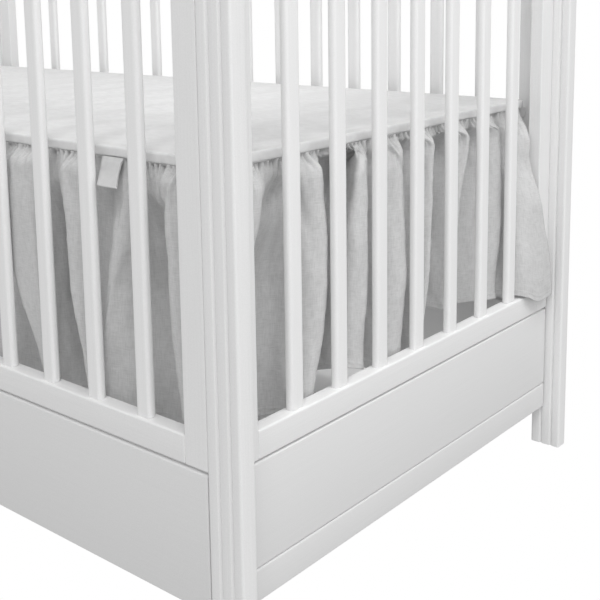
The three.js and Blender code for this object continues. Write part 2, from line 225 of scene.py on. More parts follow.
@dataclass(frozen=True)
class SlubbyLinen(Finish):
    """Light grey linen plain weave: matt and soft, with short fuzzy slubs both ways and a faint mottle."""

    relief: Pair = (0.6, 0.25)
    sheen: Pair = (0.12, 0.6)
    light_thread: str = "#d2d2d2"
    weft: Pair = (10.0, 0.9)  # a slub's size along and down the cloth
    warp: Pair = (1.0, 12.0)
    mottle: float = 7.0
    spacing: Pair = (1.1, 1.1)  # threads are 0.5 mm apart; drawn coarser so that the weave shows

    def pattern(self, tree: Tree) -> Drawn:
        """Cross the slubs, cloud them, and weave fine threads through the relief.

        Args:
            tree: The material's node tree.

        Returns:
            The share of each further tone, and the height.
        """
        weft, warp = (streaks(tree, size, 0.5) for size in (self.weft, self.warp))
        slubs = add_node(tree, "Math", {0: weft, 1: warp}, operation="ADD")
        cloth = add_node(tree, "UVMap", uv_map="surface")
        mottle = add_node(tree, "TexNoise", {"Vector": cloth, "Scale": 1 / (self.mottle * MM), "Detail": 3.0})
        clouded = add_node(tree, "Math", {0: mottle, 1: 0.6, 2: slubs}, operation="MULTIPLY_ADD")
        limits = ({"Value": clouded, "From Min": 1.3, "From Max": most} for most in (0.9, 1.7))
        dark, light = (add_node(tree, "MapRange", each) for each in limits)
        weave = thread_waves(tree, self.spacing, "MULTIPLY")
        height = add_node(tree, "Math", {0: weave, 1: 0.15, 2: slubs}, operation="MULTIPLY_ADD")
        return [(dark, self.shade), (light, self.light_thread)], height


@dataclass(frozen=True)
class FineCloth(Finish):
    """A fine white cloth: matt, with ribs or threads too small to tell apart and a faint uneven tone."""

    relief: Pair = (0.4, 0.06)
    sheen: Pair = (0.1, 0.5)
    spacing: Pair = (1.0, 1.0)  # of the threads, along and down the cloth
    cloud: float = 12.0

    def pattern(self, tree: Tree) -> Drawn:
        """Cloud the cloth and draw its threads.

        Args:
            tree: The material's node tree.

        Returns:
            The share of each further tone, and the height.
        """
        cloth = add_node(tree, "UVMap", uv_map="surface")
        cloud = add_node(tree, "TexNoise", {"Vector": cloth, "Scale": 1 / (self.cloud * MM), "Detail": 5.0})
        shaded = add_node(tree, "MapRange", {"Value": cloud, "From Min": 0.35, "From Max": 0.75})
        threads = thread_waves(tree, self.spacing, "ADD")
        height = add_node(tree, "Math", {0: cloud, 1: 3.0, 2: threads}, operation="MULTIPLY_ADD")
        return [(shaded, self.shade)], height


@dataclass(frozen=True)
class SewingThread(Finish):
    """Twisted polyester thread, a little shinier than the cloth that it holds down."""

    relief: Pair = (0.4, 0.1)
    twist: float = 0.5

    def pattern(self, tree: Tree) -> Drawn:
        """Draw the twisted strands.

        Args:
            tree: The material's node tree.

        Returns:
            The share of each further tone, and the height.
        """
        place = add_node(tree, "TexCoord").outputs["Object"]
        strands = add_node(tree, "TexNoise", {"Vector": place, "Scale": 1 / (self.twist * MM), "Detail": 2.0})
        return [(strands, self.shade)], strands


LACQUER = SatinLacquer("White satin lacquer on beech", "painted_wood", 0.45, "#ebebeb", "#e5e5e5")
# A lighter copy of the white lacquer for the slats: painted light, so that they read as if more light reached
# them
LIT_SLAT_LACQUER = SatinLacquer("White satin lacquer on planed beech", "painted_wood", 0.55, "#efefef", "#e9e9e9")
# A darker copy of the white lacquer for the boards: painted shade, for the lower boards getting less light
SHADED_BOARD_LACQUER = SatinLacquer(
    "White satin lacquer on board, darkened as painted shade", "painted_wood", 0.55, "#e1e1e1", "#dcdcdc", grain=(0.9, 160.0)
)
LINEN = SlubbyLinen("Light grey slubby linen weave", "skirt_linen", 0.92, "#c8c8c8", "#bbbbbb")
THREAD = SewingThread("Light grey polyester thread", "skirt_linen", 0.55, "#d3d3d3", "#c4c4c4")
DECK_COTTON = FineCloth("White plain cotton", "deck_cotton", 0.85, "#e4e4e4", "#dbdbdb")
SHADED_RIBBON = FineCloth(  # slightly shiny, with fine ribs across it; its white is set to grey as painted shade, for the shade that the label hangs in
    "White woven satin ribbon, greyed as painted shade", "label_ribbon", 0.6, "#c8c8c8", "#c0c0c0", (0.4, 0.05),
    spacing=(8.0, 0.8), cloud=8.0,
)


# ---- Curves and noise ----
def smoothstep(x: Array) -> Array:
    """Ease from 0 to 1."""
    t = np.clip(x, 0.0, 1.0)
    return t * t * (3 - 2 * t)


def monotone(xs: list[float], ys: list[float], x: Array) -> Array:
    """Read a smooth curve that doesn't overshoot its points.

    Args:
        xs: Where the points lie, rising.
        ys: The points' values.
        x: Where to read the curve.

    Returns:
        The curve's values.
    """
    slopes = [(ys[i + 1] - ys[i]) / (xs[i + 1] - xs[i]) for i in range(len(xs) - 1)]
    bends = [0.0 if a * b <= 0 else 2 * a * b / (a + b) for a, b in zip(slopes, slopes[1:])]
    tangents = [0.0, *bends, 0.0]
    values = np.zeros_like(x)
    for i in range(len(xs) - 1):
        width = xs[i + 1] - xs[i]
        t = np.clip((x - xs[i]) / width, 0.0, 1.0)
        here = ys[i] * (1 + 2 * t) * (1 - t) ** 2 + ys[i + 1] * t * t * (3 - 2 * t)
        here += width * (tangents[i] * t * (1 - t) ** 2 - tangents[i + 1] * t * t * (1 - t))
        values = np.where((x >= xs[i]) | (i == 0), here, values)
    return values


def soft_noise(x: Array, y: Array, seed: int) -> Array:
    """Read smooth random hills, about one for each unit of x and y.

    Args:
        x: First coordinate.
        y: Second coordinate.
        seed: Which hills.

    Returns:
        Values from -1 to 1.
    """
    size = 128
    table = np.random.default_rng(seed).uniform(-1, 1, (size, size))
    x0, y0 = np.floor(x), np.floor(y)
    tx, ty = (t**3 * (t * (6 * t - 15) + 10) for t in (x - x0, y - y0))
    i, j = x0.astype(int) % size, y0.astype(int) % size
    i1, j1 = (i + 1) % size, (j + 1) % size
    low = table[i, j] * (1 - tx) + table[i1, j] * tx
    high = table[i, j1] * (1 - tx) + table[i1, j1] * tx
    return low * (1 - ty) + high * ty


@dataclass(frozen=True)
class Ripples:
    """Soft random hills: how high they are, how large each way, and which ones."""

    height: float
    size: Pair
    seed: int

    def at(self, x: Array, y: Array) -> Array:
        """Read them at places measured in the same unit as their size."""
        return self.height * soft_noise(x / self.size[0], y / self.size[1], self.seed)


def soft_minimum(values: Array, limit: Array, blend: float) -> Array:
    """Hold values below a limit, turning softly over the last stretch, as wide as the blend."""
    return limit - np.logaddexp(0, (limit - values) / blend) * blend


def line_distance(line: Array) -> Array:
    """Measure along a line of points, from 0 at its first."""
    return np.concatenate([[0.0], np.cumsum(np.linalg.norm(np.diff(line, axis=0), axis=1))])


# ---- Meshes ----
class Ends(Enum):
    """How a skin of rings is closed."""

    CAPPED = "capped"  # one flat face on its first and its last ring
    LIDDED = "lidded"  # the first ring stays open, the last is shut on the line through its first point


def mesh_object(name: str, points: Array, faces: list, uvs: Array, sharp: float | None = None) -> Piece:
    """Make a smooth-shaded mesh object.

    Args:
        name: The piece's name.
        points: Its points, (n, 3), in metres.
        faces: Lists of point numbers.
        uvs: One flat position for each corner of each face, in order, in metres.
        sharp: The angle in degrees above which an edge stays crisp, or None for none.

    Returns:
        The new object, linked to the scene.
    """
    mesh = bpy.data.meshes.new(name)
    mesh.from_pydata(points.tolist(), [], faces)
    layer = mesh.uv_layers.new(name="surface")
    layer.data.foreach_set("uv", np.asarray(uvs, dtype=np.float32).ravel())
    mesh.shade_smooth()
    if sharp is not None:
        mesh.set_sharp_from_angle(angle=math.radians(sharp))
    mesh.update()
    piece = bpy.data.objects.new(name, mesh)
    bpy.context.scene.collection.objects.link(piece)
    return piece


def quad_numbers(rows: int, columns: int) -> Array:
    """Number the four corners of every cell of a grid of points.

    Args:
        rows: How many rows of points it has.
        columns: How many columns.

    Returns:
        Point numbers, (cells, 4).
    """
    numbers = np.arange(rows * columns).reshape(rows, columns)
    corners = (numbers[:-1, :-1], numbers[:-1, 1:], numbers[1:, 1:], numbers[1:, :-1])
    return np.stack([c.ravel() for c in corners], axis=1)


def closed(corners: Array, size: int) -> Array:
    """Renumber the corners of a grid that repeats the first of each ring's points as its last."""
    return corners // (size + 1) * size + corners % (size + 1) % size


def sheet_object(name: str, points: Array, uvs: Array, flipped: bool) -> Piece:
    """Make an open sheet from a grid.

    Args:
        name: The piece's name.
        points: The grid's points, (rows, columns, 3).
        uvs: The grid's flat positions, (rows, columns, 2).
        flipped: Whether the faces are turned over.

    Returns:
        The new object.
    """
    quads = quad_numbers(*points.shape[:2])[:, :: -1 if flipped else 1]
    return mesh_object(name, points.reshape(-1, 3), quads.tolist(), uvs.reshape(-1, 2)[quads.ravel()])


def skin_object(name: str, rings: Array, uvs: Array, ends: Ends, sharp: float | None = None) -> Piece:
    """Make a skin from a stack of closed rings.

    Args:
        name: The piece's name.
        rings: The rings' points, (rings, points, 3), counter-clockwise seen from the last ring.
        uvs: Flat positions, (rings, points + 1, 2); the extra column closes the ring.
        ends: How the first and last ring are closed.
        sharp: The angle above which an edge stays crisp.

    Returns:
        The new object.
    """
    count, size = rings.shape[:2]
    corners = quad_numbers(count, size + 1)
    faces, flat = closed(corners, size).tolist(), [uvs.reshape(-1, 2)[corners.ravel()]]
    if ends is Ends.CAPPED:
        caps = [(0, list(range(size))[::-1]), (count - 1, list(range(size)))]
    else:
        strips = (dict.fromkeys([i, i + 1, size - i - 1, (size - i) % size]) for i in range(size // 2))
        caps = [(count - 1, list(strip)) for strip in strips if len(strip) > 2]
    for row, cap in caps:
        faces.append([row * size + i for i in cap])
        flat.append(rings[row, cap, :2])
    return mesh_object(name, rings.reshape(-1, 3), faces, np.concatenate(flat), sharp)


def rounded_outline(half: Pair, radius: float, steps: tuple[int, int, int]) -> tuple[Array, Array]:
    """Walk round a rounded rectangle, from the middle of its right side, counter-clockwise.

    Args:
        half: Half its size, each way.
        radius: Its corners' radius.
        steps: How many steps a side along y, a side along x and a corner take; the first is even.

    Returns:
        Points (n, 2) and outward normals (n, 2).
    """
    upright, level, bend = steps
    x, y = half[0] - radius, half[1] - radius
    corners = np.array([(x, -y), (x, y), (-x, y), (-x, -y), (x, -y)])
    points, normals = [], []
    for turn, count in enumerate((upright, level, upright, level)):
        begin, end = corners[turn], corners[turn + 1]
        for i in range(count + bend):
            angle = (turn + max(i - count, 0) / bend) * QUARTER
            normals.append(np.array([math.cos(angle), math.sin(angle)]))
            points.append(begin + (end - begin) * min(i, count) / count + normals[-1] * radius)
    first = upright // 2
    return np.roll(np.array(points), -first, axis=0), np.roll(np.array(normals), -first, axis=0)


def thicken(sheet: Piece, thickness: float, offset: float) -> None:
    """Give a sheet its thickness in metres: inwards with an offset of -1, both ways with 0."""
    shell = sheet.modifiers.new("cloth thickness", "SOLIDIFY")
    shell.thickness, shell.offset = thickness, offset


# ---- The crib's timber ----
BAR_STEPS = (12, 6, 6)  # round a planed bar: along its sides each way, and in a corner
BAR_EASE = 0.3  # millimetres by which its cut ends are eased


class Axis(Enum):
    """Which way a bar lies: the coordinate that runs along it."""

    X = 0
    Y = 1
    Z = 2


@dataclass(frozen=True)
class Edge:
    """How one long edge of a board or rail is worked, on both of its faces. Millimetres.

    The edge is rounded over a height and a depth. Past that, a set-back tongue of the given height may run on
    into the member that it meets, and shows as a dark recess between the two.
    """

    height: float = 1.6
    depth: float = 1.6
    tongue: float = 0.0

    def profile(self) -> Array:
        """Draw it from the face outwards.

        Returns:
            Points (n, 2) in metres: inset from the face, and distance from the member's very edge.
        """
        inset, rise = self.depth * (1 - np.cos(ARC)), self.height * (1 - np.sin(ARC))
        points = np.column_stack([inset, self.tongue + rise])
        return (np.vstack([points, (self.depth, 0.0)]) if self.tongue else points) * MM


def bar_object(
    name: str,
    outline: Array,
    span: Pair,
    ease: float,
    axis: Axis,
    at: Vector,
    normals: Array | None = None,
    sharp: float = 40,
) -> Piece:
    """Make a bar from its cross-section.

    Args:
        name: The piece's name.
        outline: The cross-section, (n, 2), counter-clockwise seen from the far end.
        span: Where the bar starts and stops along its length.
        ease: How much its end edges are eased, in millimetres.
        axis: Which way it lies.
        at: Where the cross-section's origin goes.
        normals: The cross-section's outward normals, where they are known.
        sharp: The angle above which an edge stays crisp.

    Returns:
        The new object.
    """
    if normals is None:
        edge = np.roll(outline, -1, axis=0) - np.roll(outline, 1, axis=0)
        normals = edge[:, ::-1] * (1, -1) / np.linalg.norm(edge, axis=1)[:, None]
    (low, high), ease = span, ease * MM
    distance = line_distance(np.vstack([outline, outline[:1]]))
    rings, uvs = [], []
    for place, inset in ((low, ease), (low + ease, 0.0), (high - ease, 0.0), (high, ease)):
        rings.append(np.column_stack([outline - normals * inset, np.full(len(outline), place)]))
        uvs.append(np.column_stack([distance, np.full(len(distance), place)]))
    turned = np.roll(np.stack(rings), axis.value + 1, axis=2) + np.array(at)
    return skin_object(name, turned, np.stack(uvs), Ends.CAPPED, sharp)


def upright_bar(name: str, low: Vector, high: Vector, radius: float) -> Piece:
    """Make a planed bar that stands up, with rounded long edges.

    Args:
        name: The piece's name.
        low: Its lowest corner.
        high: Its highest corner.
        radius: Its long edges' radius, in millimetres.

    Returns:
        The new object.
    """
    centre, size = (low + high) / 2, high - low
    outline, normals = rounded_outline((size.x / 2, size.y / 2), radius * MM, BAR_STEPS)
    at = Vector((centre.x, centre.y, 0))
    return bar_object(name, outline, (low.z, high.z), BAR_EASE, Axis.Z, at, normals)


def lying_bar(
    name: str, low: Vector, high: Vector, axis: Axis, edges: tuple[Edge, Edge], ease: float
) -> Piece:
    """Make a board or rail that lies along X or Y.

    Args:
        name: The piece's name.
        low: Its lowest corner.
        high: Its highest corner.
        axis: Which way it lies.
        edges: How its lower and its upper edge are worked.
        ease: How much its ends are eased, in millimetres.

    Returns:
        The new object.
    """
    along, across = axis.value, 1 - axis.value
    half, middle = (high[across] - low[across]) / 2, Vector()
    middle[across] = (high[across] + low[across]) / 2
    under, over = (edge.profile() for edge in edges)
    right = np.concatenate([(half, low.z) + under[::-1] * (-1, 1), (half, high.z) - over])
    outline = np.concatenate([right, right[::-1] * (-1, 1)])
    if axis is Axis.Y:
        outline = outline[::-1, ::-1]
    return bar_object(name, outline, (low[along], high[along]), ease, axis, middle)


@dataclass
class Post:
    """A corner post with two V grooves down each broad face. Millimetres."""

    place: str
    radius: float = 3
    grooves: Pair = (12.6, 27.6)  # from the outer narrow face
    groove_width: float = 4.6
    groove_depth: float = 2.3
    lip: float = 0.35  # the paint rounds each groove's edges by this much
    ease: float = 0.6  # of the cut ends
    sharp: float = 30  # edges above this many degrees stay crisp

    def build(self) -> Piece:
        """Make, dress and mount the post. Its cross-section is drawn with the outer narrow face at +X.

        Returns:
            The finished piece.
        """
        node = f"post_{self.place}"
        low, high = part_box(node)
        centre, (x, y, _) = (low + high) / 2, (high - low) / 2 / MM
        wide, lip, deep = self.groove_width / 2, self.lip, self.groove_depth
        side = [(wide + lip, 0.0), (wide, -0.2 * lip), (wide - lip, -lip), (0.4 * lip, 0.3 * lip - deep)]
        notch = np.array([*side, (0.0, -deep), *[(-a, b) for a, b in side[::-1]]])
        bend = np.column_stack([np.cos(ARC), np.sin(ARC)]) * self.radius
        corner = np.array([x - self.radius, y - self.radius])
        outline = np.concatenate([
            (bend[::-1] + corner) * (1, -1),
            bend + corner,
            *[notch + (x - inset, y) for inset in self.grooves],
            (bend[::-1] + corner) * (-1, 1),
            -bend - corner,
            *[notch[::-1] * (1, -1) + (x - inset, -y) for inset in self.grooves[::-1]],
        ])
        outline *= math.copysign(MM, centre.x)
        at = Vector((centre.x, centre.y, 0))
        span = (low.z, high.z)
        post = bar_object(f"grooved_{node}", outline, span, self.ease, Axis.Z, at, sharp=self.sharp)
        return LACQUER.mount(post, node)


@dataclass(frozen=True)
class Joinery:
    """How the members of one kind of side meet, from the floor up. Millimetres."""

    boards: tuple[float, ...]  # heights where a board starts, then the underside of the rail on top of them
    edges: tuple[tuple[Edge, Edge], ...]  # lower and upper edge of each board
    rail_edges: tuple[Edge, Edge] = (Edge(0.5, 0.5), Edge(2.2, 2.2))


LONG_JOINERY = Joinery((56, 199), ((Edge(), Edge(2.2, 4.0, 3.6)),))
END_JOINERY = Joinery((56, 90, 199), ((Edge(), Edge(2.8, 3.2)), (Edge(2.2, 2.2), Edge(1.8, 3.4, 2.6))))


@dataclass
class Side:
    """One side of the crib: boards, rails and stiles glued up as a frame, and its slats. Millimetres."""

    name: str
    along: Axis
    slats: int
    joinery: Joinery
    stile: float = 29.5
    rail_top: float = 227
    top_rail_bottom: float = 758
    board_gap: float = 1.4  # the boards stop this much short of the posts
    joint: float = 0.08  # the rails stop this much short of the stiles
    board_ease: float = 1.2  # of the boards' ends
    rail_ease: float = 1.0
    stile_radius: float = 1.2
    slat_radius: float = 4.2
    slat_seat: float = 0.3  # the slats run on into the rails by this much

    def build(self) -> list[Piece]:
        """Make, dress and mount the frame's members and the slats.

        Returns:
            The finished pieces.
        """
        node, which = f"frame_{self.name}", self.along.value
        first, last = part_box(node)
        length, top = (last - first)[which] / MM, last.z / MM
        boards, rails, seam = self.joinery.boards, self.joinery.rail_edges, self.stile + self.joint
        bottom = boards[-1]
        short = (self.board_gap, length - self.board_gap)
        layout = [
            (f"board_{i + 1}", short, boards[i : i + 2], edges, self.board_ease)
            for i, edges in enumerate(self.joinery.edges)
        ]
        layout += [
            ("lower_rail", (seam, length - seam), (bottom, self.rail_top), rails, self.rail_ease),
            ("top_rail", (seam, length - seam), (self.top_rail_bottom, top), rails, self.rail_ease),
            ("stile_1", (0, self.stile), (bottom, top), None, 0),
            ("stile_2", (length - self.stile, length), (bottom, top), None, 0),
        ]
        pieces = []
        for part, span, heights, edges, ease in layout:
            low, high = first.copy(), last.copy()
            low[which], high[which] = (first[which] + at * MM for at in span)
            low.z, high.z = (height * MM for height in heights)
            if edges:
                member = lying_bar(f"{part}_{self.name}", low, high, self.along, edges, ease)
            else:
                member = upright_bar(f"{part}_{self.name}", low, high, self.stile_radius)
            # The boards take the darker copy of the lacquer, as painted shade
            pieces.append((SHADED_BOARD_LACQUER if part.startswith("board") else LACQUER).mount(member, node))
        seat = Vector((0, 0, self.slat_seat * MM))
        for i in range(self.slats):
            node = f"slat_{self.name}_{i + 1:02d}"
            foot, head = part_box(node)
            slat = upright_bar(f"rounded_{node}", foot - seat, head + seat, self.slat_radius)
            # The slats take the lighter copy of the lacquer, as painted light
            pieces.append(LIT_SLAT_LACQUER.mount(slat, node))
        return pieces


# ---- The skirt ----
@dataclass(frozen=True)
class Fold:
    """One ridge or valley of a panel, in millimetres.

    seam, upper, middle and hem are distances along the panel at the seam, at the turn, halfway down and at the
    hem. bulge, belly and flare are how far the cloth stands out from the band at the last three of them, and a
    valley's are negative. turn is how far below the seam the fold is fully formed, and lift is how far its hem
    rides above the plain hem.
    """

    seam: float
    upper: float
    middle: float
    hem: float
    bulge: float
    belly: float
    flare: float
    turn: float
    lift: float


@dataclass(frozen=True)
class Crease:
    """A line pressed into the cloth, or raised if its depth is negative, in millimetres.

    With a fade it is the crisp edge of a fold. The cloth steps in at the line and comes back over that
    distance, on the side of larger along for a line that runs up and of smaller along for one that runs down.
    """

    along_from: float
    height_from: float
    along_to: float
    height_to: float
    width: float
    depth: float
    fade: float = 0.0

    def pressed(self, along: Array, height: Array) -> Array:
        """Press it into a surface.

        Args:
            along: Each point's distance along the panel.
            height: Each point's height.

        Returns:
            How far in each point is pressed.
        """
        run = np.array([self.along_to - self.along_from, self.height_to - self.height_from])
        length = np.hypot(*run)
        run = run / length
        x, y = along - self.along_from, height - self.height_from
        t, aside = x * run[0] + y * run[1], x * run[1] - y * run[0]
        taper = smoothstep(t / (0.25 * length) + 0.2) * smoothstep((length - t) / (0.4 * length))
        spread = np.where(aside > 0, max(self.width, self.fade), self.width)
        return np.where(t < -0.05 * length, 0.0, self.depth * np.exp(-((aside / spread) ** 2)) * taper)


FRONT_FOLDS = tuple(Fold(*values) for values in (
    (32, 30, 24, 20, 3, 4, 4, 30, 0),
    (52, 55, 49, 40, 12, 13, 9, 26, 3),
    (86, 84, 88, 82, -22, -36, -30, 76, -10),
    (112, 116, 135, 156, 12, 14, 9, 66, 0),
    (158, 156, 164, 174, -3, -9, -3, 60, -5),
    (196, 204, 199, 181, 13, 14, 9, 24, 1),
    (226, 232, 238, 226, -40, -54, -47, 80, -8),
    (258, 262, 254, 238, 12, 14, 8, 24, 0),
    (296, 305, 296, 258, 13, 15, 8, 28, 0),
    (336, 332, 326, 300, -20, -30, -24, 56, -8),
))
RIGHT_FOLDS = tuple(Fold(*values) for values in (
    (4, 2, -2, -4, 4, 5, 5, 30, 0),
    (53, 49, 22, 12, 14, 9, 8, 32, 0),
    (76, 76, 60, 50, -14, -34, -30, 52, -8),
    (104, 104, 100, 96, -16, -35, -34, 42, -10),
    (124, 123, 122, 108, 7, 8, 4, 30, -4),
    (138, 141, 146, 126, 14, 15, 11, 20, -2),
    (154, 164, 168, 154, -28, -34, -30, 22, 13),
    (198, 224, 186, 176, -34, -38, -26, 22, 17),
    (212, 196, 185, 182, 12, 14, 10, 42, 26),
    (216, 216, 216, 212, 14, 15, 11, 22, 16),
    (236, 240, 242, 238, -24, -30, -24, 34, 6),
    (264, 262, 258, 256, 3, 5, 4, 40, 0),
    (285, 286, 289, 284, 13, 15, 11, 24, 0),
    (300, 306, 312, 308, -26, -34, -28, 22, -4),
    (334, 347, 340, 327, 13, 15, 11, 22, 3),
    (368, 380, 378, 368, -34, -42, -36, 34, 36),
    (408, 424, 405, 396, 14, 9, 5, 24, 35),
    (444, 448, 440, 436, -30, -14, -8, 34, 30),
    (474, 501, 506, 500, 14, 14, 9, 24, 24),
    (510, 517, 518, 516, -8, -6, 2, 30, 24),
    (528, 529, 529, 528, 4, 14, 26, 44, 24.5),
    (540, 541, 540, 539, 8, 24, 41, 54, 21),
    (558, 555, 554, 560, 14, 34, 43.5, 60, 12),
    (578, 568, 572, 597, 21, 39, 44, 62, 13),
))
FLAP_FOLDS = 5  # the last folds of the right-hand panel, pulled out past the slats

FRONT_CREASES = tuple(Crease(*values) for values in (
    (300, 462, 292, 425, 3.0, 1.6),
    (284, 460, 286, 436, 2.2, 1.4),
    (270, 462, 268, 440, 2.4, 1.6),
    (60, 300, 84, 420, 9.0, 1.2),
    (52, 350, 56.5, 446, 1.4, 5.0, 16.0),
    (56.5, 410, 51, 466, 1.4, 4.5, 12.0),
    (54, 415, 104, 448, 1.5, 5.0, 26.0),
    (121, 404, 121, 456, 1.5, 3.5, 14.0),
    (157, 272, 125, 376, 1.5, 2.2, 14.0),
))
RIGHT_CREASES = tuple(Crease(*values) for values in (
    (24, 462, 30, 396, 3.5, 1.8),
    (47, 396, 60.5, 496, 1.4, 4.5, 14.0),
    (60, 430, 92, 460, 1.5, 4.0, 22.0),
    (128, 466, 118, 408, 4.0, 1.6),
    (110, 446, 124, 388, 5.0, 2.6),
    (261, 482, 290, 426, 1.3, 4.5, 12.0),
    (266, 440, 278, 330, 6.0, 1.0),
    (330, 474, 342, 452, 2.6, 1.8),
    (480, 480, 506, 424, 4.0, 1.5),
))


@dataclass(frozen=True)
class Wrinkles:
    """Soft random dents in hanging cloth, in millimetres."""

    depth: float
    width: float
    length: float
    lean: float  # how far down the cloth they take to move aside by one width
    slope: float  # how far along the cloth they take to move down by one length


WRINKLES = (
    Wrinkles(1.3, 19, 95, 160, math.inf),
    Wrinkles(0.9, 11, 38, -60, 50),
    Wrinkles(0.42, 6, 9, 25, -30),
)


@dataclass(frozen=True)
class Gathers:
    """The small uneven puckers under a seam, some of them running on as long thin folds. Millimetres."""

    margin: float = 3  # from the panel's edge to the first
    spacing: float = 6.5
    scatter: float = 2.4
    depth: Pair = (4.5, 9.0)
    width: Pair = (1.1, 1.6)
    long_share: float = 0.25
    long: Pair = (22, 46)
    short: Pair = (6, 13)
    lean: float = 0.22
    reach: float = 30  # how far aside one still shows
    widening: float = 25  # they are twice as wide this far below the seam

    def pressed(self, seam: Array, h: Array, seed: int) -> Array:
        """Press them into a surface.

        Args:
            seam: Each column's distance along the seam.
            h: Each row's distance below the seam.
            seed: Which random puckers.

        Returns:
            How far in each point is pressed, (rows, columns).
        """
        random = np.random.default_rng(seed)
        down = h[:, None]
        pressed = np.zeros((len(h), len(seam)))
        for spot in np.arange(seam.min() + self.margin, seam.max(), self.spacing):
            centre = spot + random.uniform(-self.scatter, self.scatter)
            lengths = self.long if random.random() < self.long_share else self.short
            depth, width, length = (random.uniform(*limits) for limits in (self.depth, self.width, lengths))
            lean = random.uniform(-self.lean, self.lean)
            near = np.abs(seam - centre) < self.reach
            across = (seam[near][None, :] - centre - lean * down) / (width * (1 + down / self.widening))
            fade = np.exp(-((down / length) ** 1.5)) * smoothstep(down / 2.0 + 0.25)
            pressed[:, near] += depth * np.exp(-(across**2)) * fade
        return pressed


@dataclass(frozen=True)
class Placement:
    """Where a panel starts, which way it runs and which way is out of the crib."""

    start: Vector
    along: Vector
    outward: Vector

    def at(self, *places: Array) -> Array:
        """Place points given in millimetres along the panel, out from the band and above the floor."""
        ways = (np.array(way) for way in (self.along, self.outward, (0, 0, 1)))
        return np.array(self.start) + sum(place[..., None] * MM * way for place, way in zip(places, ways))

    def opposite(self) -> "Placement":
        """Turn it round to the other side of the crib."""
        return Placement(-self.start, -self.along, -self.outward)

    def mirrored(self) -> bool:
        """Tell whether along and outward make a left-handed pair."""
        return self.along.cross(self.outward).z < 0

    def normals(self, points: Array) -> Array:
        """Find the outward unit normals of a grid.

        Args:
            points: The grid's points, (rows going down, columns, 3).

        Returns:
            The normals, in the same shape.
        """
        normal = np.cross(np.gradient(points, axis=0), np.gradient(points, axis=1))
        normal /= np.linalg.norm(normal, axis=2, keepdims=True) + 1e-12
        return normal if self.mirrored() else -normal


